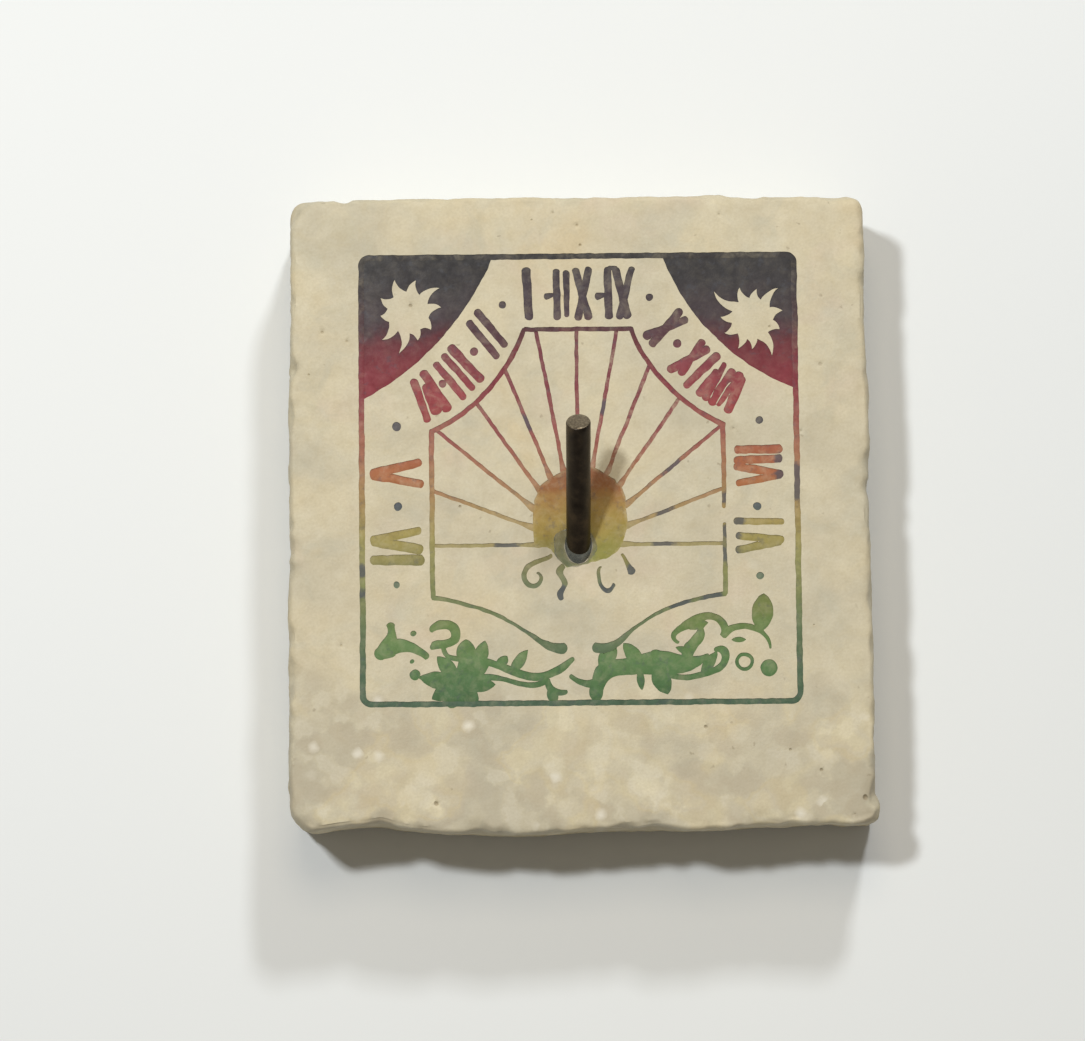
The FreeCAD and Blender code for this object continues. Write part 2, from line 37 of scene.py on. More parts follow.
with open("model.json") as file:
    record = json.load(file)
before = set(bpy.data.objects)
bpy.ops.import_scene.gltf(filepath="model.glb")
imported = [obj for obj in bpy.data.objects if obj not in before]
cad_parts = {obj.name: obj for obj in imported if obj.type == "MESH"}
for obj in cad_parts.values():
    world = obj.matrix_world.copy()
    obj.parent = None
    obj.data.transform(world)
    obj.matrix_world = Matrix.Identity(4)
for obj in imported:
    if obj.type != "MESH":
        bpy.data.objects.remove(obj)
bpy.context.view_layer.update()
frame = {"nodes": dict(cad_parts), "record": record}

MM = 0.001
FACE = 11.5  # height of the stone's face above its back
RECESS = 0.22  # depth of the stencilled recesses
SINK = 0.035  # how far the dry ink lies below the stone's face
EDGE_INSET = 0.55  # where the face ends and the rounded edge begins, in from the outline
OUTLINE_STEP = 0.33  # between points along the stone's outline
INK_STEP = 0.2  # between points along the outlines of the ink
GRAIN_STEP = 0.36  # between the loose points of the face
BACK_STEP = 1.28  # between the points of the back
BORDER_TOP = 22.6  # upper side of the dial's border, above the dial's middle

border_lo, border_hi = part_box("outer_border")
DIAL_X = (border_lo.x + border_hi.x) / 2 / MM
DIAL_Y = border_hi.y / MM - BORDER_TOP
DISC_CENTRE = (DIAL_X, DIAL_Y - 0.5)
DISC_RADIUS = 4.0

LATITUDE = 45.5
ROD_FOOT = (DIAL_X - 0.15, DIAL_Y - 2.9)
ROD_RADIUS = 1.05
ROD_OUT = 13.2  # length of the rod above the face, along its axis
ROD_IN = 5.6  # and below it
ROD_LEAN = math.radians(90 - LATITUDE)  # angle between the rod and the face
ROD_AXIS = Vector((0.0, math.cos(ROD_LEAN), math.sin(ROD_LEAN)))
BORE_RADIUS = 1.17

rng = random.Random(45)


def ripple(x, y, z, size, seed):
    """Smooth noise from -1 to 1 with waves about size millimetres across."""
    return noise.noise(Vector((x / size + 7.3 * seed, y / size - 3.1 * seed, z / size + 1.7 * seed)))


def face_height(x, y):
    """Slight waviness of the honed face."""
    return 0.05 * ripple(x, y, 0, 9.0, 1) + 0.022 * ripple(x, y, 0, 2.6, 2) + 0.008 * ripple(x, y, 0, 0.9, 3)


def search_tree(points):
    """A search tree over points in the plane or in space."""
    tree = kdtree.KDTree(len(points))
    for number, p in enumerate(points):
        tree.insert((*p, 0.0)[:3], number)
    tree.balance()
    return tree


# ---------------------------------------------------------------- outlines from the CAD nodes


def chained(edges):
    """Directed edges joined into closed loops of keys."""
    after = {}
    for a, b in edges:
        after.setdefault(a, []).append(b)
    loops = []
    while after:
        start = next(iter(after))
        loop = [start]
        here = start
        while True:
            onward = after[here]
            there = onward.pop()
            if not onward:
                del after[here]
            if there == start or there not in after:
                break
            loop.append(there)
            here = there
        if len(loop) > 2:
            loops.append(loop)
    return loops


def top_loops(name):
    """Closed outlines of the upper face of a CAD node, each a list of (x, y)."""
    upright = 0.9  # a face of the top has at least this much of its normal along z
    mesh = frame["nodes"][name].data
    spots = [(round(v.co.x / MM, 3), round(v.co.y / MM, 3)) for v in mesh.vertices]
    heights = [v.co.z / MM for v in mesh.vertices]
    top = max(heights)
    ways = set()
    for face in mesh.polygons:
        if face.normal.z < upright or min(heights[i] for i in face.vertices) < top - 0.01:
            continue
        ring = [spots[i] for i in face.vertices]
        for a, b in zip(ring, ring[1:] + ring[:1]):
            if a != b:
                ways.add((a, b))
    return chained([w for w in ways if (w[1], w[0]) not in ways])


def evenly(loop, step):
    """A closed loop with points about step apart, its corners kept."""
    out = []
    for a, b in zip(loop, loop[1:] + loop[:1]):
        length = math.dist(a, b)
        count = max(1, round(length / step))
        out += [(a[0] + (b[0] - a[0]) * k / count, a[1] + (b[1] - a[1]) * k / count) for k in range(count)]
    kept = [out[0]]
    crowded = step * 0.45
    for p in out[1:]:
        if math.dist(p, kept[-1]) > crowded:
            kept.append(p)
    return kept


# how far the ink ran past its stencil
NUMERAL_SPREAD = 0.055
BORDER_SPREAD = 0.03
FLARE_WIDTH, FLARE_LENGTH = 0.17, 1.3


def spread_at(name, x, y):
    """How far the ink of a node ran past its stencil: the hour lines flare where they meet the sun disc."""
    if name.startswith("hour_line"):
        beyond = max(0.0, math.dist((x, y), DISC_CENTRE) - DISC_RADIUS)
        return FLARE_WIDTH * max(0.0, 1 - beyond / FLARE_LENGTH)
    if name.startswith("numeral"):
        return NUMERAL_SPREAD
    return BORDER_SPREAD if name == "outer_border" else 0.0


def bled(name, loop):
    """An ink outline spread outward and made slightly uneven, as stencilled ink is on a grainy stone."""
    out = []
    rough = 0.11 if name == "sun_disc" else 0.05
    for k, (x, y) in enumerate(loop):
        a, b = loop[k - 1], loop[(k + 1) % len(loop)]
        way = Vector((b[1] - a[1], a[0] - b[0])).normalized() * spread_at(name, x, y)
        x, y = x + way.x, y + way.y
        dx = rough * ripple(x, y, 0, 0.55, 11) + rough * ripple(x, y, 0, 1.7, 12)
        dy = rough * ripple(x, y, 0, 0.55, 13) + rough * ripple(x, y, 0, 1.7, 14)
        out.append((x + dx, y + dy))
    return out


def inside(points, loops):
    """Which of the points lie inside the loops, holes left out."""
    hit = np.zeros(len(points), bool)
    x, y = points[:, 0], points[:, 1]
    for loop in loops:
        ring = np.array(loop)
        lo, hi = ring.min(0), ring.max(0)
        near = np.nonzero((x > lo[0]) & (x < hi[0]) & (y > lo[1]) & (y < hi[1]))[0]
        if not len(near):
            continue
        px, py = x[near][:, None], y[near][:, None]
        ax, ay = ring[:, 0], ring[:, 1]
        bx, by = np.roll(ax, -1), np.roll(ay, -1)
        rise = np.where(by == ay, 1e-12, by - ay)
        across = ((ay > py) != (by > py)) & (px < (bx - ax) * (py - ay) / rise + ax)
        hit[near] ^= across.sum(1) % 2 == 1
    return hit


def slab_outline():
    """The stone's plan at mid height, evenly stepped, anticlockwise."""
    mesh = frame["nodes"]["stone_slab"].data
    level = 0.5 * FACE
    bore_zone = 15  # the cut through the bore lies within this distance of the middle
    cut = set()
    for face in mesh.polygons:
        ring = [mesh.vertices[i].co / MM for i in face.vertices]
        for a, b in zip(ring, ring[1:] + ring[:1]):
            if (a.z - level) * (b.z - level) < 0:
                p = a.lerp(b, (level - a.z) / (b.z - a.z))
                if math.hypot(p.x, p.y) > bore_zone:
                    cut.add((round(p.x, 3), round(p.y, 3)))
    ring = sorted(cut, key=lambda p: math.atan2(p[1], p[0]))
    total = sum(math.dist(a, b) for a, b in zip(ring, ring[1:] + ring[:1]))
    count = round(total / OUTLINE_STEP)
    out, walked, target = [], 0.0, 0.0
    for a, b in zip(ring, ring[1:] + ring[:1]):
        length = math.dist(a, b)
        while target < walked + length - 1e-9 and len(out) < count:
            t = (target - walked) / length
            out.append((a[0] + (b[0] - a[0]) * t, a[1] + (b[1] - a[1]) * t))
            target += total / count
        walked += length
    return out


OUTLINE = slab_outline()


def outward(ring):
    """Smoothed outward normal at each point of an anticlockwise ring."""
    count, reach = len(ring), 4
    normals = []
    for i in range(count):
        a, b = ring[i - reach], ring[(i + reach) % count]
        n = Vector((b[1] - a[1], a[0] - b[0]))
        normals.append(n.normalized())
    return normals


NORMALS = outward(OUTLINE)

# ---------------------------------------------------------------- wear of the stone

# (x, y) beside the edge, reach and depth of the larger breaks along the upper edge
BREAKS = [
    (-17.2, -27.2, 1.5, 0.28),
    (-24.4, -27.2, 1.2, 0.22),
    (24.9, -25.4, 0.9, 0.38),
    (6.4, -27.6, 1.9, 0.4),
    (-9.0, -27.6, 1.4, 0.3),
    (15.5, -27.0, 1.7, 0.3),
    (-25.2, 27.0, 1.5, 0.35),
    (-25.3, 12.5, 1.1, 0.35),
    (-25.3, -3.2, 1.3, 0.4),
    (-24.8, -14.0, 1.5, 0.35),
    (11.8, 27.5, 1.1, 0.35),
    (25.4, 4.0, 1.2, 0.3),
]
# (x, y), reach and depth of the larger voids in the face
PITS = [(-12.6, -25.2, 0.22, 0.15), (21.0, 12.7, 0.2, 0.07), (24.3, -25.0, 0.26, 0.2)]
PIT_COUNT = 22
EDGE_CHIPS = 150
SIDE_HOLLOWS = 90
LONGEST_REACH = 2.6  # no chip, break or hollow reaches further
HOLLOW_MARGIN = 1.5  # from the face and the back to the nearest hollow's centre


def chips():
    """Breaks of the edges and hollows of the sides: centre, reach and the step that the stone moves by."""
    out = []
    for x, y, reach, depth in BREAKS:
        x, y = x + DIAL_X, y + DIAL_Y
        i = min(range(len(OUTLINE)), key=lambda k: math.dist(OUTLINE[k], (x, y)))
        n = NORMALS[i]
        out.append((Vector((*OUTLINE[i], FACE)), reach, Vector((-n.x, -n.y, -0.9)).normalized() * depth))
    for k in range(EDGE_CHIPS):
        i = rng.randrange(len(OUTLINE))
        n = NORMALS[i]
        above = k % 2 == 0
        reach = rng.uniform(0.4, 1.3) if above else rng.uniform(0.6, 2.0)
        depth = reach * rng.uniform(0.1, 0.26)
        level = FACE - rng.uniform(0, 0.5) if above else rng.uniform(0, 0.4)
        fall = -rng.uniform(0.4, 1.2) if above else 0.5
        out.append((Vector((*OUTLINE[i], level)), reach, Vector((-n.x, -n.y, fall)).normalized() * depth))
    hollows = random.Random(12)
    for _ in range(SIDE_HOLLOWS):
        i = hollows.randrange(len(OUTLINE))
        reach = hollows.uniform(0.6, 2.4)
        step = Vector((-NORMALS[i].x, -NORMALS[i].y, 0)) * (reach * hollows.uniform(0.08, 0.18))
        level = hollows.uniform(HOLLOW_MARGIN, FACE - HOLLOW_MARGIN)
        out.append((Vector((*OUTLINE[i], level)), reach, step))
    return out


CHIPS = chips()
chip_tree = search_tree([chip[0] for chip in CHIPS])


def chipped(p):
    """The point p after the breaks near it."""
    moved = p.copy()
    for _, number, distance in chip_tree.find_range(p, LONGEST_REACH):
        reach, step = CHIPS[number][1:]
        if distance < reach:
            moved += step * (1 - (distance / reach) ** 2) ** 1.5
    return moved


def scatter_pits(loops):
    """Small natural voids in the bare stone, away from the ink: x, y, reach and depth."""
    clear = 0.7
    out = [(x + DIAL_X, y + DIAL_Y, r, d) for x, y, r, d in PITS]
    while len(out) < PIT_COUNT:
        x, y = rng.uniform(-24, 24), rng.uniform(-26.5, 26.5)
        size = rng.uniform(0.08, 0.17)
        around = np.array([(x + clear * math.cos(a), y + clear * math.sin(a)) for a in (0, 1.6, 3.1, 4.7)])
        if not inside(around, loops).any():
            out.append((x, y, size, size * rng.uniform(0.5, 0.9)))
    return out


# ---------------------------------------------------------------- the face as one shared net

NOT_INK = ("stone_slab", "gnomon_rod", "gnomon_adhesive")
INK_NODES = [n for n in sorted(frame["nodes"]) if n not in NOT_INK]
ink_loops = {n: [bled(n, evenly(loop, INK_STEP)) for loop in top_loops(n)] for n in INK_NODES}
all_loops = [loop for loops in ink_loops.values() for loop in loops]
rim = [(p[0] - n.x * EDGE_INSET, p[1] - n.y * EDGE_INSET) for p, n in zip(OUTLINE, NORMALS)]
pits = scatter_pits(all_loops)
PIT_RIM = 1.1  # outer ring of a pit, in shares of its size


def bore_mouth():
    """The mouth of the inclined bore in the face, an ellipse."""
    count = 40
    out = []
    for k in range(count):
        a = math.tau * k / count
        y = ROD_FOOT[1] + BORE_RADIUS / math.sin(ROD_LEAN) * math.sin(a)
        out.append((ROD_FOOT[0] + BORE_RADIUS * math.cos(a), y))
    return out


bore = bore_mouth()


def face_points():
    """Net points and edges: the rim, the bore, the ink outlines, the pits and a jittered grain."""
    points, edges = [], []
    for loop in [rim, bore] + all_loops:
        first = len(points)
        points += loop
        edges += [(first + k, first + (k + 1) % len(loop)) for k in range(len(loop))]
    for x, y, size, _ in pits:
        points.append((x, y))
        for share, count in ((0.45, 7), (0.8, 10), (PIT_RIM, 12)):
            for k in range(count):
                a = math.tau * (k + share) / count
                points.append((x + size * share * math.cos(a), y + size * share * math.sin(a)))
    grain = []
    half_x, half_y, jitter = 26.5, 29.0, 0.09
    row_step = GRAIN_STEP * 0.866
    for j in range(int(2 * half_y / row_step)):
        for i in range(int(2 * half_x / GRAIN_STEP)):
            x = -half_x + GRAIN_STEP * (i + 0.5 * (j % 2)) + rng.uniform(-jitter, jitter)
            y = -half_y + row_step * j + rng.uniform(-jitter, jitter)
            grain.append((x, y))
    grain = np.array(grain)
    inset = EDGE_INSET + 0.2
    inner = [(p[0] - n.x * inset, p[1] - n.y * inset) for p, n in zip(OUTLINE, NORMALS)]
    grain = grain[inside(grain, [inner])]
    fixed = search_tree(points)
    clear = 0.13  # loose points stay this far from those of the outlines
    points += [tuple(p) for p in grain if fixed.find((p[0], p[1], 0))[2] > clear]
    return points, edges


net_points, net_edges = face_points()
net = delaunay_2d_cdt([Vector(p) for p in net_points], net_edges, [], 0, 1e-4, True)
net_spots, _, net_faces, net_sources, _, _ = net
SPOTS = [(v.x, v.y) for v in net_spots]
TRIANGLES = [tuple(f) for f in net_faces]
spot_of = {source: spot for spot, sources in enumerate(net_sources) for source in sources}
RIM_SPOTS = [spot_of[k] for k in range(len(rim))]
BORE_SPOTS = [spot_of[len(rim) + k] for k in range(len(bore))]

# a triangle's label: one of these, or the number of its ink node
STONE, HOLE, OUTSIDE = -1, -2, -3
centres = np.array([np.mean([SPOTS[i] for i in t], axis=0) for t in TRIANGLES])
LABELS = np.full(len(TRIANGLES), STONE)
for number, name in enumerate(INK_NODES):
    LABELS[inside(centres, ink_loops[name])] = number
LABELS[inside(centres, [bore])] = HOLE
LABELS[~inside(centres, [rim])] = OUTSIDE

rim_tree = search_tree(rim)


def pit_depth(x, y):
    """How far the natural voids lower the face here."""
    depth = 0.0
    for px, py, size, deep in pits:
        away = math.dist((x, y), (px, py))
        if away < size * PIT_RIM:
            depth = max(depth, deep * (1 - (away / (size * PIT_RIM)) ** 2))
    return depth


EDGE_ZONE = 1.6  # how far in the face begins to fall and roughen towards its edge
CHIP_ZONE = 3.0  # no chip reaches further in
DARK_DEPTH = 0.12  # a void this deep is fully darkened by dirt and painted shade


def surface_point(x, y):
    """The point of the face above (x, y)."""
    to_rim = rim_tree.find((x, y, 0))[2]
    near_edge = max(0.0, 1 - to_rim / EDGE_ZONE)
    height = FACE + face_height(x, y) - 0.05 * near_edge**2 - pit_depth(x, y)
    height += near_edge * (0.06 * ripple(x, y, 0, 1.9, 5) + 0.03 * ripple(x, y, 0, 0.8, 6))
    p = Vector((x, y, height))
    return chipped(p) if to_rim < CHIP_ZONE else p


SURFACE = [surface_point(x, y) for x, y in SPOTS]
# how dark each point of the face is painted for dirt and shade in the voids, deeper voids darker
PIT_DIRT_AND_SHADE = [min(1.0, pit_depth(x, y) / DARK_DEPTH) for x, y in SPOTS]

# ---------------------------------------------------------------- meshes


def mesh_object(name, points, faces, sharp=None, marks=None):
    """A mesh object from points in millimetres; marks are named values per vertex."""
    mesh = bpy.data.meshes.new(name)
    mesh.from_pydata([tuple(c * MM for c in p) for p in points], [], faces)
    mesh.validate()
    mesh.update()
    for label, values in (marks or {}).items():
        layer = mesh.attributes.new(label, "FLOAT", "POINT")
        layer.data.foreach_set("value", values)
    mesh.polygons.foreach_set("use_smooth", [True] * len(mesh.polygons))
    if sharp is not None:
        mesh.set_sharp_from_angle(angle=math.radians(sharp))
    made = bpy.data.objects.new(name, mesh)
    bpy.context.scene.collection.objects.link(made)
    return made


def placed(piece, node, material):
    """Puts a finished piece on the root body in place of its CAD node."""
    piece.data.materials.append(material)
    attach(piece, "root")
    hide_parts(node)


def edge_owners():
    """For each directed edge of the net, the label of the triangle on its left."""
    owner = {}
    for t, label in zip(TRIANGLES, LABELS):
        for a, b in zip(t, t[1:] + t[:1]):
            owner[(a, b)] = label
    return owner


OWNER = edge_owners()


class Builder:
    """Collects vertices under keys, with their marks."""

    def __init__(self):
        self.points, self.faces, self.index = [], [], {}
        self.marks = {}

    def vertex(self, key, point, **marks):
        """The number of the vertex under key, which the first call makes."""
        if key not in self.index:
            self.index[key] = len(self.points)
            self.points.append(point)
            for label in set(marks) | set(self.marks):
                column = self.marks.setdefault(label, [0.0] * (len(self.points) - 1))
                column.append(marks.get(label, 0.0))
        return self.index[key]


def band(first, second, turned=False):
    """Quads between two rings of vertex numbers; turned faces them the other way."""
    pairs = list(zip(first, second))
    quads = []
    for (a, b), (c, d) in zip(pairs, pairs[1:] + pairs[:1]):
        quads.append((a, c, d, b) if turned else (a, b, d, c))
    return quads


# (inset, depth below the face) down the upper edge, then (inset, height) down the lower edge
UPPER_EDGE = [(0.42, 0.06), (0.3, 0.13), (0.2, 0.23), (0.12, 0.37), (0.06, 0.56), (0.02, 0.82)]
LOWER_EDGE = [(0.03, 1.0), (0.12, 0.65), (0.3, 0.33), (0.55, 0.12), (0.85, 0.0)]
SIDE_TOP = FACE - 1.15  # the plain side runs from here
SIDE_FOOT = 1.3  # to here, in rings this far apart:
SIDE_STEP = 0.38
ROUNDING = 1.2  # depth of the upper edge's rounding
SIDE_TINT_DEPTH = 1.4  # below the face, where the darker, browner tint of the sides is full


def side_rings():
    """(inset, height) of each ring from under the rim to the back."""
    rings = [(inset, FACE - depth) for inset, depth in UPPER_EDGE]
    level = SIDE_TOP
    while level > SIDE_FOOT:
        rings.append((0.0, level))
        level -= SIDE_STEP
    return rings + LOWER_EDGE


def worn_side(i, inset, level):
    """A point of the tumbled side: outline point i, moved by the rough break and the chips.

    The lower side of the tile, which faces -y, is undercut and has a crisper upper edge.
    """
    x, y = OUTLINE[i]
    n = NORMALS[i]
    up = max(0.0, 1 - (FACE - level) / ROUNDING)
    rough = 0.16 * ripple(x, y, level, 6.5, 21) + 0.13 * ripple(x, y, level, 2.2, 22)
    rough += 0.08 * ripple(x, y, level, 0.9, 23) + 0.045 * ripple(x, y, level, 0.45, 24) - 0.05
    off_back = max(0.0, min(1.0, level / 0.5))
    crisp = max(0.0, -n.y) ** 2
    inset += 0.6 * crisp * (1 - level / FACE)
    level = FACE - (FACE - level) * (1 - 0.65 * crisp * up)
    inward = inset - rough * (1 - 0.6 * up)
    p = Vector((x - n.x * inward, y - n.y * inward, level))
    p.z += (0.5 * rough * up) * off_back
    p = chipped(p)
    p.z = max(0.0, p.z)
    return p


def stone_face(b):
    """The bare face, the floors of the recesses and the walls between them."""
    for t, label in zip(TRIANGLES, LABELS):
        if label == STONE:
            b.faces.append(tuple(b.vertex(("top", i), SURFACE[i], pitted=PIT_DIRT_AND_SHADE[i]) for i in t))
        elif label >= 0:
            sunk = Vector((0, 0, RECESS))
            b.faces.append(tuple(b.vertex(("floor", i), SURFACE[i] - sunk, pitted=0.0) for i in t))
    for (i, j), label in OWNER.items():
        if label == STONE and OWNER.get((j, i), OUTSIDE) >= 0:
            wall = [("top", j), ("top", i), ("floor", i), ("floor", j)]
            b.faces.append(tuple(b.index[key] for key in wall))


def stone_bore(b):
    """The blind bore, from the lowest surface that borders it."""
    upper = []
    for i in BORE_SPOTS:
        kind = "floor" if ("floor", i) in b.index else "top"
        upper.append(b.index[(kind, i)])
    for depth in (1.2, 2.6, ROD_IN):
        down = ROD_AXIS * (depth / math.sin(ROD_LEAN) * 0.9)
        lower = []
        for k, i in enumerate(BORE_SPOTS):
            lower.append(b.vertex(("bore", depth, k), Vector((*SPOTS[i], FACE)) - down))
        b.faces += band(upper, lower, turned=True)
        upper = lower
    b.faces.append(tuple(upper))


def stone_sides(b):
    """The rounded edges and the sides; returns the lowest ring of vertices."""
    upper = [b.index[("top", i)] for i in RIM_SPOTS]
    for number, (inset, level) in enumerate(side_rings()):
        share = min(1.0, (FACE - level) / SIDE_TINT_DEPTH)
        lower = []
        for k in range(len(OUTLINE)):
            lower.append(b.vertex(("side", number, k), worn_side(k, inset, level), side=share))
        b.faces += band(upper, lower)
        upper = lower
    return upper


def stone_back(b, ring):
    """The flat back inside the lowest ring, as a loose net."""
    foot = [(b.points[i][0], b.points[i][1]) for i in ring]
    columns, rows, jitter = 40, 44, 0.2
    first_x, first_y = -25.0, -27.5
    grid = []
    for j in range(rows):
        for i in range(columns):
            x = first_x + BACK_STEP * i + rng.uniform(-jitter, jitter)
            y = first_y + BACK_STEP * j + rng.uniform(-jitter, jitter)
            grid.append((x, y))
    grid = np.array(grid)
    inner = 0.975  # the loose points keep to this share of the outline
    shrunk = [(x * inner, y * inner) for x, y in foot]
    plan = [Vector(p) for p in foot] + [Vector(p) for p in grid[inside(grid, [shrunk])]]
    count = len(foot)
    around = [(k, (k + 1) % count) for k in range(count)]
    spots, _, triangles, sources, _, _ = delaunay_2d_cdt(plan, around, [], 1, 1e-5, True)
    corners = []
    for k, v in enumerate(spots):
        if sources[k] and sources[k][0] < count:
            corners.append(ring[sources[k][0]])
        else:
            corners.append(b.vertex(("back", k), Vector((v.x, v.y, 0.0)), side=1.0))
    for triangle in triangles:
        b.faces.append(tuple(corners[i] for i in reversed(triangle)))


def stone():
    """The whole tile as one closed body."""
    b = Builder()
    stone_face(b)
    stone_bore(b)
    stone_back(b, stone_sides(b))
    return mesh_object("tumbled_stone", b.points, b.faces, sharp=50, marks=b.marks)


# places where slate ink got into the lighter colours: x, y, reach
SLATE_SPOTS = [
    (18.9, 3.1, 1.2),
    (18.9, 1.7, 1.2),
    (13.0, 1.1, 1.0),
    (13.0, -2.0, 1.1),
    (13.0, -3.8, 1.2),
    (17.4, 3.0, 0.7),
    (17.4, 4.4, 0.7),
    (13.8, -1.0, 0.7),
    (-4.6, 7.7, 1.1),
    (-6.3, -2.9, 1.5),
    (8.0, 3.7, 1.2),
    (7.5, -0.3, 1.2),
    (7.2, -2.9, 1.3),
    (2.4, 9.0, 1.0),
    (8.6, -8.1, 1.3),
    (11.4, -7.6, 1.2),
    (-18.9, -5.0, 0.8),
    (-18.9, -7.0, 0.6),
    (-1.7, -7.1, 0.9),
    (2.3, -6.7, 0.9),
    (4.4, -5.2, 0.8),
]


def stain(x, y):
    """Share of slate ink at a place of the dial."""
    most = 0.0
    for sx, sy, reach in SLATE_SPOTS:
        away = math.dist((x, y), (sx + DIAL_X, sy + DIAL_Y))
        most = max(most, 1 - (away / reach) ** 2)
    return most


def ink(name, number):
    """The dried ink of one CAD node, filling its recess to just under the face."""
    border = search_tree([p for loop in ink_loops[name] for p in loop])
    edge_width = 0.3  # the ink lies a little lower this near to its edge
    b = Builder()

    def pair(i):
        """The vertices at the top and the underside of the ink at net point i."""
        x, y = SPOTS[i]
        away = border.find((x, y, 0))[2]
        body = min(1.0, away / edge_width)
        dip = SINK + 0.02 * (1 - body) - 0.012 * ripple(x, y, 0, 0.7, 31)
        marks = {"inward": min(1.2, away), "stain": stain(x, y)}
        return (
            b.vertex(("top", i), SURFACE[i] - Vector((0, 0, dip)), **marks),
            b.vertex(("under", i), SURFACE[i] - Vector((0, 0, RECESS)), **marks),
        )

    for t, label in zip(TRIANGLES, LABELS):
        if label != number:
            continue
        pairs = [pair(i) for i in t]
        b.faces.append(tuple(p[0] for p in pairs))
        b.faces.append(tuple(p[1] for p in reversed(pairs)))
        for a, c, (i, j) in zip(pairs, pairs[1:] + pairs[:1], zip(t, t[1:] + t[:1])):
            if OWNER.get((j, i), OUTSIDE) != number:
                b.faces.append((a[0], a[1], c[1], c[0]))
    return mesh_object("ink_" + name, b.points, b.faces, sharp=40, marks=b.marks)


def rod():
    """The steel rod: cut end with a filed rim, slight dents, its foot down the bore."""
    side = Vector((1, 0, 0))
    up = ROD_AXIS.cross(side)
    foot = Vector((*ROD_FOOT, FACE))
    around, steps = 56, 46
    lowest, highest = -ROD_IN + 0.3, ROD_OUT - 0.16
    # each row: the length along the axis and the share of the radius
    rows = [(-ROD_IN, 0.9), (-ROD_IN + 0.1, 1.0)]
    rows += [(lowest + (highest - lowest) * k / steps, 1.0) for k in range(steps + 1)]
    rows += [(ROD_OUT - 0.09, 0.975), (ROD_OUT - 0.03, 0.94), (ROD_OUT, 0.885), (ROD_OUT + 0.005, 0.7)]
    rows += [(ROD_OUT + 0.012, 0.45), (ROD_OUT - 0.004, 0.2)]
    points, faces, ends = [], [], []
    for along, share in rows:
        for k in range(around):
            a = math.tau * k / around
            reach = ROD_RADIUS * share
            if share > 0.97:
                reach += 0.018 * ripple(math.cos(a) * 2, math.sin(a) * 2, along, 1.9, 41)
                reach += 0.007 * ripple(math.cos(a) * 3, math.sin(a) * 3, along, 0.5, 42)
            tilt = 0.05 * math.sin(a + 0.6) * share if along > ROD_OUT - 0.12 else 0.0
            p = foot + ROD_AXIS * (along + tilt) + side * (reach * math.cos(a)) + up * (reach * math.sin(a))
            if share <= 0.94 and along > 0:
                p += ROD_AXIS * 0.02 * ripple(p.x, p.y, p.z, 0.4, 43)
            points.append(p)
            ends.append(1.0 if along > ROD_OUT - 0.05 else 0.0)
    rings = [range(r * around, (r + 1) * around) for r in range(len(rows))]
    for first, second in zip(rings, rings[1:]):
        faces += band(first, second, turned=True)
    faces.append(tuple(reversed(rings[0])))
    faces.append(tuple(rings[-1]))
    return mesh_object("steel_rod", points, faces, sharp=35, marks={"cut": ends})


def glue():
    """The clear bead: a mound at the rod's foot that climbs the metal a little, with a thin sleeve below."""
    around, steps = 72, 12
    touch = 0.012  # gap between the glue and the metal
    low = FACE - 0.02  # where the bead meets the face
    b = Builder()
    rings = []

    def metal(a, level, gap):
        """A point of a sleeve about the rod, gap off the metal."""
        shift = (level - FACE) / math.tan(ROD_LEAN)
        return Vector(
            (
                ROD_FOOT[0] + (ROD_RADIUS + gap) * math.cos(a),
                ROD_FOOT[1] + shift + (ROD_RADIUS + gap) / math.sin(ROD_LEAN) * math.sin(a),
                level,
            )
        )

    def shore(a):
        """A point of the bead's uneven outline on the face."""
        reach = 1 + 0.07 * math.sin(3 * a + 0.8) + 0.05 * math.sin(5 * a + 2.1)
        x = ROD_FOOT[0] - 0.4 + 1.85 * reach * math.cos(a)
        y = ROD_FOOT[1] - 0.28 + 1.62 * reach * math.sin(a)
        return Vector((x, y, low))

    for s in range(steps + 1):
        t = s / steps
        ring = []
        for k in range(around):
            a = math.tau * k / around
            climb = 0.4 + 0.14 * math.sin(a + 3.6) + 0.05 * math.sin(3 * a)
            inner = metal(a, FACE + climb, touch)
            p = inner.lerp(shore(a), t)
            swell = math.sin(math.pi * t) * 0.16
            p.z = low + (inner.z - low) * (1 - t) ** 1.7 + swell
            p.z += 0.03 * ripple(p.x, p.y, 0, 0.8, 51) * math.sin(math.pi * t)
            ring.append(b.vertex(("over", s, k), p))
        rings.append(ring)
    # depth below the face and gap off the metal: under the mound, down the bore and back up the metal
    for depth, gap in ((0.09, 0.5), (0.12, 0.1), (1.6, 0.09), (1.65, touch), (0.0, touch)):
        ring = []
        for k in range(around):
            p = metal(math.tau * k / around, FACE - depth, gap)
            ring.append(b.vertex(("under", depth, gap, k), p))
        rings.append(ring)
    for upper, lower in zip(rings, rings[1:] + rings[:1]):
        b.faces += band(upper, lower)
    return mesh_object("glue_bead", b.points, b.faces, sharp=60)


# ---------------------------------------------------------------- materials


def linear(red, green, blue):
    """A colour given as sRGB display values from 0 to 255, as linear light."""
    out = []
    for c in (red, green, blue):
        c = c / 255
        out.append(c / 12.92 if c <= 0.04045 else ((c + 0.055) / 1.055) ** 2.4)
    return (*out, 1.0)


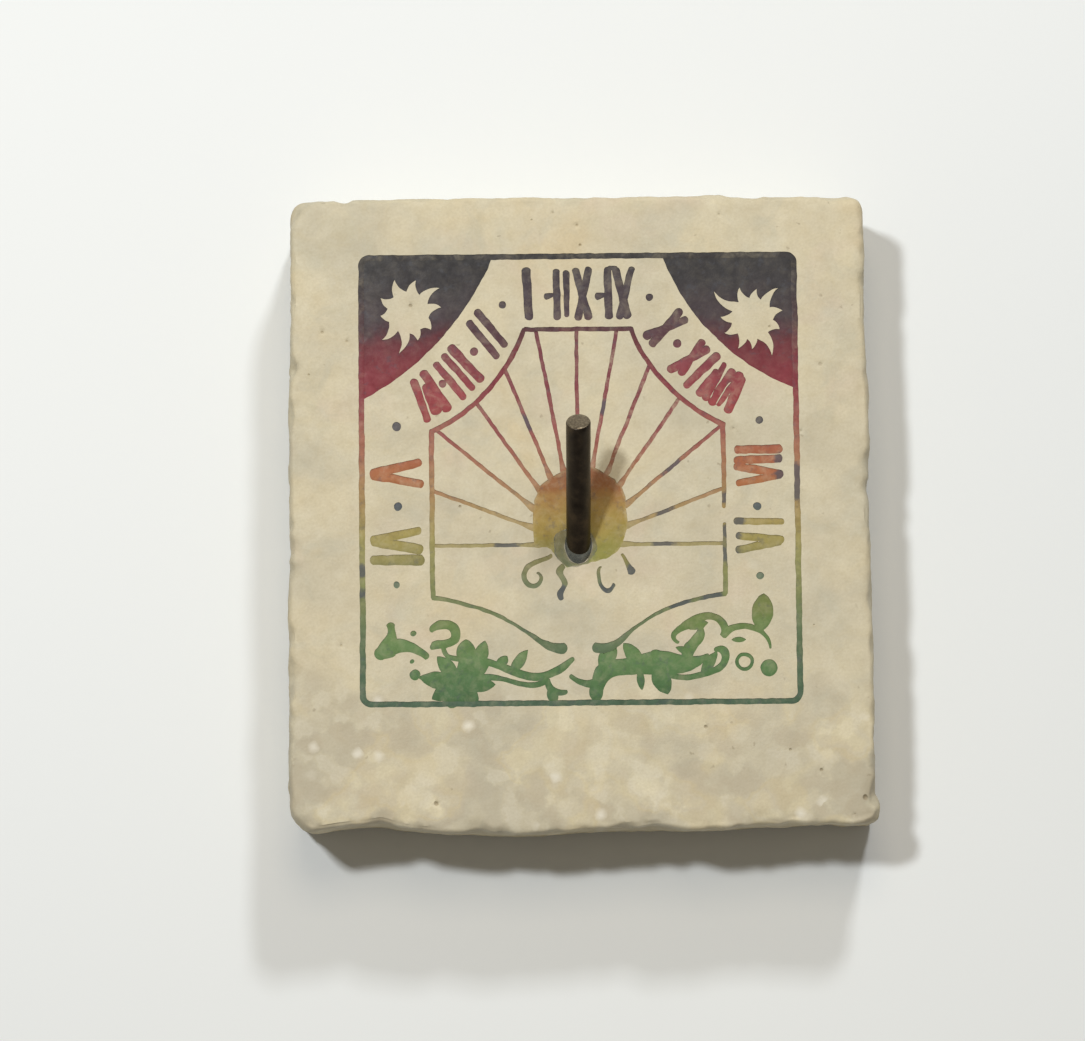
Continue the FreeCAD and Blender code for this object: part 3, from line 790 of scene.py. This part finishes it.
class Material:
    """A node material under construction; lengths inside it are millimetres."""

    def __init__(self, name):
        self.made = bpy.data.materials.new(name)
        self.made.use_nodes = True
        self.tree = self.made.node_tree
        self.tree.nodes.clear()
        self.shader = self.node("ShaderNodeBsdfPrincipled")
        output = self.node("ShaderNodeOutputMaterial")
        self.link(self.shader.outputs["BSDF"], output.inputs["Surface"])
        place = self.node("ShaderNodeTexCoord")
        grown = self.node("ShaderNodeVectorMath")
        grown.operation = "MULTIPLY"
        grown.inputs[1].default_value = (1000, 1000, 1000)
        self.link(place.outputs["Object"], grown.inputs[0])
        self.place = grown.outputs[0]

    def node(self, kind):
        """A new node of this kind."""
        return self.tree.nodes.new(kind)

    def link(self, source, target):
        """Joins an output to an input."""
        self.tree.links.new(source, target)

    def put(self, value, target):
        """A socket is linked, anything else becomes the socket's value."""
        if isinstance(value, bpy.types.NodeSocket):
            self.link(value, target)
        else:
            target.default_value = value

    def math(self, operation, a, b, clamp=False):
        """One operation on two values."""
        n = self.node("ShaderNodeMath")
        n.operation = operation
        n.use_clamp = clamp
        self.put(a, n.inputs[0])
        self.put(b, n.inputs[1])
        return n.outputs[0]

    def shifted(self, offset):
        """The place in millimetres, moved by an offset so that patterns don't coincide."""
        n = self.node("ShaderNodeVectorMath")
        n.operation = "ADD"
        n.inputs[1].default_value = offset
        self.link(self.place, n.inputs[0])
        return n.outputs[0]

    def noise(self, size, detail, rough, offset=(0, 0, 0), warp=0.0):
        """Cloudy grey with patches about size millimetres across."""
        n = self.node("ShaderNodeTexNoise")
        n.inputs["Scale"].default_value = 1 / size
        n.inputs["Detail"].default_value = detail
        n.inputs["Roughness"].default_value = rough
        n.inputs["Distortion"].default_value = warp
        self.link(self.shifted(offset), n.inputs["Vector"])
        return n.outputs[0]

    def cells(self, size, offset, stir, stir_size, blend=0.0):
        """Distance to the cell centres and the cell's random grey; stir bends the walls, blend softens."""
        n = self.node("ShaderNodeTexVoronoi")
        n.feature = "SMOOTH_F1"
        n.inputs["Smoothness"].default_value = blend
        n.inputs["Scale"].default_value = 1 / size
        twist = self.node("ShaderNodeTexNoise")
        twist.inputs["Scale"].default_value = 1 / stir_size
        twist.inputs["Detail"].default_value = 3.0
        self.link(self.shifted(offset), twist.inputs["Vector"])
        bent = self.node("ShaderNodeVectorMath")
        bent.operation = "MULTIPLY_ADD"
        bent.inputs[1].default_value = (stir, stir, stir)
        self.link(twist.outputs["Color"], bent.inputs[0])
        self.link(self.shifted(offset), bent.inputs[2])
        self.link(bent.outputs[0], n.inputs["Vector"])
        grey = self.node("ShaderNodeSeparateColor")
        self.link(n.outputs["Color"], grey.inputs[0])
        return n.outputs["Distance"], grey.outputs[0]

    def span(self, value, low, high, to_low=0.0, to_high=1.0):
        """The value carried from low..high to to_low..to_high, clamped."""
        n = self.node("ShaderNodeMapRange")
        self.put(value, n.inputs["Value"])
        n.inputs["From Min"].default_value = low
        n.inputs["From Max"].default_value = high
        n.inputs["To Min"].default_value = to_low
        n.inputs["To Max"].default_value = to_high
        return n.outputs[0]

    def mix(self, share, a, b, blend="MIX"):
        """Colour a with a share of colour b."""
        n = self.node("ShaderNodeMix")
        n.data_type = "RGBA"
        n.blend_type = blend
        factor, colour_a, colour_b = n.inputs[0], n.inputs[6], n.inputs[7]
        self.put(share, factor)
        self.put(a, colour_a)
        self.put(b, colour_b)
        return n.outputs[2]

    def ramp(self, value, stops):
        """A run of display colours along the value."""
        n = self.node("ShaderNodeValToRGB")
        low, high = stops[0][0], stops[-1][0]
        ramp = n.color_ramp
        ramp.elements[0].position = 0.0
        ramp.elements[0].color = linear(*stops[0][1])
        ramp.elements[1].position = 1.0
        ramp.elements[1].color = linear(*stops[-1][1])
        for at, colour in stops[1:-1]:
            e = ramp.elements.new((at - low) / (high - low))
            e.color = linear(*colour)
        self.link(self.span(value, low, high), n.inputs[0])
        return n.outputs[0]

    def mark(self, label):
        """A value stored on the mesh's vertices."""
        n = self.node("ShaderNodeAttribute")
        n.attribute_name = label
        return n.outputs["Fac"]

    def bump(self, height, strength, distance_mm, under=None):
        """A normal roughened by a height, on top of the normal under it."""
        n = self.node("ShaderNodeBump")
        n.inputs["Strength"].default_value = strength
        n.inputs["Distance"].default_value = distance_mm * MM
        self.link(height, n.inputs["Height"])
        if under is not None:
            self.link(under, n.inputs["Normal"])
        return n.outputs[0]


# runs of colour: (value of the noise or height in mm on the dial, display colour)
LIMESTONE = [
    (0.28, (190, 182, 158)),
    (0.45, (204, 194, 167)),
    (0.6, (209, 197, 166)),
    (0.76, (208, 189, 150)),
]
LARGE_CLASTS = [
    (0.2, (174, 168, 148)),
    (0.4, (190, 182, 158)),
    (0.52, (204, 191, 152)),
    (0.65, (206, 198, 172)),
    (0.8, (220, 209, 172)),
]
SMALL_CLASTS = [
    (0.2, (180, 166, 142)),
    (0.45, (192, 184, 162)),
    (0.6, (210, 200, 172)),
    (0.8, (228, 221, 200)),
]


CLASTS_BEGIN, CLASTS_FULL = -13.0, -21.0  # heights in y between which the clasts come to show


def stone_material():
    """Cream limestone: broad clouds, soft clasts that show most low on the face, grain, flecks and specks."""
    m = Material("limestone")
    split = m.node("ShaderNodeSeparateXYZ")
    m.link(m.place, split.inputs[0])
    drift = m.span(m.noise(6.0, 3, 0.6, (7, 5, 3)), 0.3, 0.7, -4.0, 4.0)
    low = m.span(m.math("ADD", split.outputs[1], drift), CLASTS_BEGIN, CLASTS_FULL)
    broad = m.noise(9.0, 3, 0.5, (3, 7, 1), 0.4)
    cloud = m.noise(3.4, 5, 0.62, (11, 2, 5), 0.6)
    mottle = m.noise(1.1, 5, 0.65, (5, 15, 8))
    grain = m.noise(0.22, 3, 0.6)
    base = m.ramp(broad, LIMESTONE)
    rosy = m.math("MULTIPLY", m.span(m.noise(5.5, 2, 0.5, (31, 4, 9), 0.5), 0.56, 0.7), 0.35)
    base = m.mix(rosy, base, linear(207, 186, 166))
    cool = m.math("MULTIPLY", m.span(m.noise(4.4, 4, 0.6, (8, 41, 2), 0.8), 0.5, 0.66), 0.5)
    base = m.mix(cool, base, linear(184, 181, 162))
    base = m.mix(m.span(cloud, 0.4, 0.68, 0.0, 0.5), base, linear(217, 209, 184))
    base = m.mix(m.span(mottle, 0.5, 0.75, 0.0, 0.3), base, linear(187, 174, 142))
    _, large = m.cells(3.6, (4, 9, 2), 3.0, 2.0, 0.95)
    _, small = m.cells(1.5, (14, 6, 8), 1.4, 0.9, 0.8)
    base = m.mix(m.span(low, 0.0, 1.0, 0.12, 0.62), base, m.ramp(large, LARGE_CLASTS))
    base = m.mix(m.span(low, 0.0, 1.0, 0.06, 0.3), base, m.ramp(small, SMALL_CLASTS))
    base = m.mix(m.span(grain, 0.35, 0.7, 0.0, 0.2), base, linear(164, 152, 124))
    near, grey = m.cells(1.9, (2, 3, 4), 0.5, 0.9)
    fleck = m.math("MULTIPLY", m.span(near, 0.34, 0.08), m.span(grey, 0.86, 0.92))
    fleck = m.math("MULTIPLY", fleck, m.span(low, 0.0, 1.0, 0.1, 0.75), True)
    base = m.mix(fleck, base, linear(232, 227, 212))
    specks, dark = m.cells(0.9, (21, 13, 4), 0.6, 0.4)
    speck = m.math("MULTIPLY", m.span(specks, 0.2, 0.08), m.span(dark, 0.92, 0.95))
    base = m.mix(m.math("MULTIPLY", speck, 0.4), base, linear(128, 112, 86))
    # the sides and the back are tinted darker and browner than the face
    side = m.span(m.mark("side"), 0.5, 1.0)
    side_tint = m.math("MULTIPLY", side, m.span(m.noise(2.2, 5, 0.6, (4, 4, 30)), 0.3, 0.7, 0.3, 0.85))
    base = m.mix(side_tint, base, linear(180, 167, 133))
    # dirt and painted shade in the natural voids: the deeper a void, the darker its colour
    base = m.mix(m.math("MULTIPLY", m.mark("pitted"), 0.6), base, linear(122, 106, 80))
    m.put(base, m.shader.inputs["Base Color"])
    m.put(m.span(mottle, 0.3, 0.8, 0.5, 0.78), m.shader.inputs["Roughness"])
    m.shader.inputs["Specular IOR Level"].default_value = 0.35
    fine = m.bump(grain, 0.35, 0.05)
    m.put(m.bump(mottle, 0.3, 0.12, fine), m.shader.inputs["Normal"])
    return m.made


def ink_material(name, stops, thin, soft=0.0):
    """Ink whose colour runs with the height on the dial, patchy, darker where it pooled at its edges.

    thin is how much stone shows through the worn patches, soft how wide in mm the ink fades out at its edge.
    """
    m = Material(name)
    split = m.node("ShaderNodeSeparateXYZ")
    m.link(m.place, split.inputs[0])
    drift = m.span(m.noise(2.8, 3, 0.6, (1, 6, 3), 0.5), 0.2, 0.8, -1.0, 1.0)
    height = m.math("ADD", m.math("SUBTRACT", split.outputs[1], DIAL_Y), drift)
    base = m.ramp(height, stops)
    blotch = m.noise(0.9, 4, 0.65, (9, 1, 7))
    pooled = m.mix(1.0, base, (0.62, 0.6, 0.6, 1), "MULTIPLY")
    base = m.mix(m.span(blotch, 0.42, 0.75, 0.0, 0.45), base, pooled)
    worn = m.span(m.noise(1.1, 5, 0.68, (2, 8, 17), 0.4), 0.46, 0.72, 0.0, thin)
    base = m.mix(worn, base, linear(200, 188, 158))
    inward = m.mark("inward")
    rim = m.span(inward, 0.22, 0.03, 0.0, 0.0 if soft else 0.25)
    base = m.mix(rim, base, m.mix(1.0, base, (0.5, 0.5, 0.52, 1), "MULTIPLY"))
    uneven = m.span(m.noise(0.7, 3, 0.6, (14, 3, 1)), 0.3, 0.7, -0.35, 0.35)
    slate = m.math("ADD", m.mark("stain"), uneven)
    base = m.mix(m.span(slate, 0.1, 0.7, 0.0, 0.8), base, linear(66, 70, 80))
    if soft:
        uneven = m.span(m.noise(0.8, 4, 0.65, (19, 5, 2)), 0.3, 0.7, -0.3 * soft, soft)
        ragged = m.math("ADD", inward, uneven)
        base = m.mix(m.span(ragged, 0.0, soft, 0.5, 0.0), base, linear(190, 174, 132))
    m.put(base, m.shader.inputs["Base Color"])
    m.put(m.span(blotch, 0.3, 0.75, 0.45, 0.66), m.shader.inputs["Roughness"])
    m.shader.inputs["Specular IOR Level"].default_value = 0.35
    m.put(m.bump(m.noise(0.25, 3, 0.6), 0.3, 0.03), m.shader.inputs["Normal"])
    return m.made


BLEND = [
    (-17.0, (66, 94, 70)),
    (-13.0, (80, 104, 74)),
    (-9.5, (104, 120, 78)),
    (-6.0, (132, 136, 80)),
    (-2.5, (156, 146, 84)),
    (1.5, (164, 132, 82)),
    (5.0, (164, 108, 80)),
    (8.5, (146, 70, 66)),
    (11.0, (130, 38, 52)),
    (14.0, (114, 36, 46)),
    (16.5, (76, 42, 48)),
    (19.0, (54, 44, 46)),
    (22.6, (43, 40, 40)),
]
NIGHT = [
    (11.0, (132, 40, 52)),
    (13.0, (115, 29, 42)),
    (14.8, (97, 27, 38)),
    (16.0, (70, 35, 44)),
    (17.2, (61, 48, 53)),
    (20.0, (44, 40, 43)),
    (22.6, (31, 30, 32)),
]
HOURS = [
    (-4.0, (164, 156, 104)),
    (0.0, (172, 144, 94)),
    (3.5, (166, 112, 80)),
    (7.0, (150, 76, 72)),
    (12.0, (128, 54, 64)),
    (16.5, (112, 48, 60)),
]
DISC = [
    (-5.4, (112, 126, 66)),
    (-3.6, (138, 134, 58)),
    (-1.6, (156, 136, 60)),
    (0.4, (160, 127, 61)),
    (2.0, (148, 95, 46)),
    (3.8, (136, 82, 46)),
]
SLATE_RUN = [
    (-9.0, (100, 118, 92)),
    (-3.0, (106, 122, 100)),
    (1.0, (82, 88, 94)),
    (8.0, (84, 80, 82)),
    (11.0, (130, 60, 68)),
    (14.0, (112, 56, 66)),
    (17.0, (68, 50, 58)),
    (22.0, (50, 43, 48)),
]
PLUM = [(12.0, (102, 48, 56)), (15.0, (84, 49, 57)), (18.5, (70, 48, 54))]
CRIMSON = [(7.0, (156, 66, 62)), (10.0, (146, 54, 60)), (13.0, (126, 50, 60)), (16.0, (104, 48, 58))]
ORANGE = [(0.0, (172, 120, 66)), (3.0, (166, 100, 58)), (7.0, (158, 84, 62))]
OLIVE = [
    (-6.5, (110, 120, 84)),
    (-4.0, (140, 132, 74)),
    (-2.0, (158, 144, 76)),
    (0.5, (160, 138, 82)),
    (1.5, (160, 128, 84)),
]
GREEN = [(-16.0, (66, 104, 58)), (-13.0, (84, 120, 66)), (-10.5, (100, 128, 68)), (-8.0, (108, 119, 57))]
# for each slot: the run of colours, how much stone the wear shows, and how softly the ink ends in mm
INKS = {
    "paint_blend": (BLEND, 0.18),
    "paint_night": (NIGHT, 0.05),
    "paint_slate": (SLATE_RUN, 0.2),
    "paint_plum": (PLUM, 0.22),
    "paint_crimson": (CRIMSON, 0.26),
    "paint_orange": (ORANGE, 0.3),
    "paint_sun": (DISC, 0.2, 0.35),
    "paint_olive": (OLIVE, 0.26),
    "paint_green": (GREEN, 0.2),
}


def rod_material():
    """Dark steel, mottled, brighter where it was cut."""
    m = Material("dark_steel")
    cloud = m.noise(1.3, 4, 0.6, (3, 3, 3))
    fine = m.noise(0.18, 3, 0.6)
    dark = m.ramp(cloud, [(0.3, (44, 37, 31)), (0.5, (58, 50, 42)), (0.7, (82, 70, 56))])
    cut = m.ramp(fine, [(0.3, (96, 84, 68)), (0.7, (150, 138, 116))])
    m.put(m.mix(m.mark("cut"), dark, cut), m.shader.inputs["Base Color"])
    m.put(m.span(cloud, 0.3, 0.75, 0.3, 0.52), m.shader.inputs["Roughness"])
    m.shader.inputs["Metallic"].default_value = 0.75
    m.put(m.bump(fine, 0.3, 0.03), m.shader.inputs["Normal"])
    return m.made


def glue_material():
    """Clear glue as a thin film that lets most of the colour below through."""
    m = Material("clear_glue")
    haze = m.noise(0.6, 3, 0.6, (5, 5, 1))
    m.put(m.ramp(haze, [(0.35, (120, 126, 122)), (0.7, (168, 172, 164))]), m.shader.inputs["Base Color"])
    m.put(m.span(haze, 0.4, 0.8, 0.05, 0.16), m.shader.inputs["Roughness"])
    m.shader.inputs["IOR"].default_value = 1.49
    m.shader.inputs["Specular IOR Level"].default_value = 1.0
    m.shader.inputs["Alpha"].default_value = 0.3
    m.put(m.bump(haze, 0.15, 0.05), m.shader.inputs["Normal"])
    return m.made


placed(stone(), "stone_slab", stone_material())
ink_materials = {slot: ink_material(slot, *values) for slot, values in INKS.items()}
hour_ink = ink_material("paint_hours", HOURS, 0.22)
worn_hour_ink = ink_material("paint_hours_worn", HOURS, 0.62)
WORN_HOURS = ("09_am", "10_am", "11_am")
slot_of = {part["node"]: part["material_slot"] for part in frame["record"]["subparts"]}
for number, name in enumerate(INK_NODES):
    slot = slot_of[name]
    made_of = ink_materials[slot]
    if name.startswith("hour_line"):
        made_of = worn_hour_ink if name.endswith(WORN_HOURS) else hour_ink
    placed(ink(name, number), name, made_of)
placed(rod(), "gnomon_rod", rod_material())
placed(glue(), "gnomon_adhesive", glue_material())

# ---------------------------------------------------------------- floor, lights and camera


def floor_material():
    """A pale table, nearly even in colour."""
    m = Material("white_table")
    haze = m.noise(160.0, 2, 0.5)
    m.put(m.ramp(haze, [(0.3, (229, 233, 235)), (0.7, (233, 236, 236))]), m.shader.inputs["Base Color"])
    m.put(m.span(haze, 0.3, 0.7, 0.42, 0.5), m.shader.inputs["Roughness"])
    m.shader.inputs["Specular IOR Level"].default_value = 0.3
    return m.made


HALF = 900  # half the table's width
table = [(-HALF, -HALF, 0), (HALF, -HALF, 0), (HALF, HALF, 0), (-HALF, HALF, 0)]
floor = mesh_object("table_top", table, [(0, 1, 2, 3)])
floor.data.materials.append(floor_material())


def lamp(name, toward, distance, size, power, colour):
    """A square lamp, distance metres from the tile in the direction toward, turned to face it."""
    data = bpy.data.lights.new(name, "AREA")
    data.size = size
    data.energy = power
    data.color = colour
    made = bpy.data.objects.new(name, data)
    way = Vector(toward).normalized()
    made.location = way * distance
    made.rotation_euler = way.to_track_quat("Z", "Y").to_euler()
    bpy.context.scene.collection.objects.link(made)


lamp(
    "high_lamp",
    toward=(-3.9, 2.4, 11.5),
    distance=0.6,
    size=0.046,
    power=1.76,
    colour=(0.93, 0.955, 0.97),
)
lamp(
    "far_lamp",
    toward=(3.3, 11.7, 11.5),
    distance=0.55,
    size=0.058,
    power=1.18,
    colour=(0.92, 0.945, 0.97),
)
lamp(
    "warm_sky",
    toward=(0.0, 4.4, 11.5),
    distance=0.6,
    size=0.2,
    power=0.59,
    colour=(1.0, 0.84, 0.62),
)
world = bpy.data.worlds.new("studio")
world.use_nodes = True
backdrop = world.node_tree.nodes["Background"]
backdrop.inputs["Color"].default_value = (1.0, 0.9, 0.76, 1.0)
backdrop.inputs["Strength"].default_value = 0.18
bpy.context.scene.world = world

# the camera stands low of the dial's middle, 450 mm above the face
eye = Vector((DIAL_X - 4.8, DIAL_Y - 58.3, FACE + 450.0))
aim = Vector((DIAL_X - 3.24, DIAL_Y - 0.78, FACE))
roll = math.radians(0.55)
back = (eye - aim).normalized()
right = Vector((math.sin(roll), math.cos(roll), 0)).cross(back).normalized()
up = back.cross(right)
camera = bpy.data.cameras.new("camera")
camera.sensor_width = 36.0
camera.lens = 174.1
camera.clip_start = 0.01
camera_object = bpy.data.objects.new("camera", camera)
axes = Matrix((right, up, back)).transposed().to_4x4()
axes.translation = eye * MM
camera_object.matrix_world = axes
bpy.context.scene.collection.objects.link(camera_object)
bpy.context.scene.camera = camera_object
bpy.context.scene.view_settings.view_transform = "Standard"
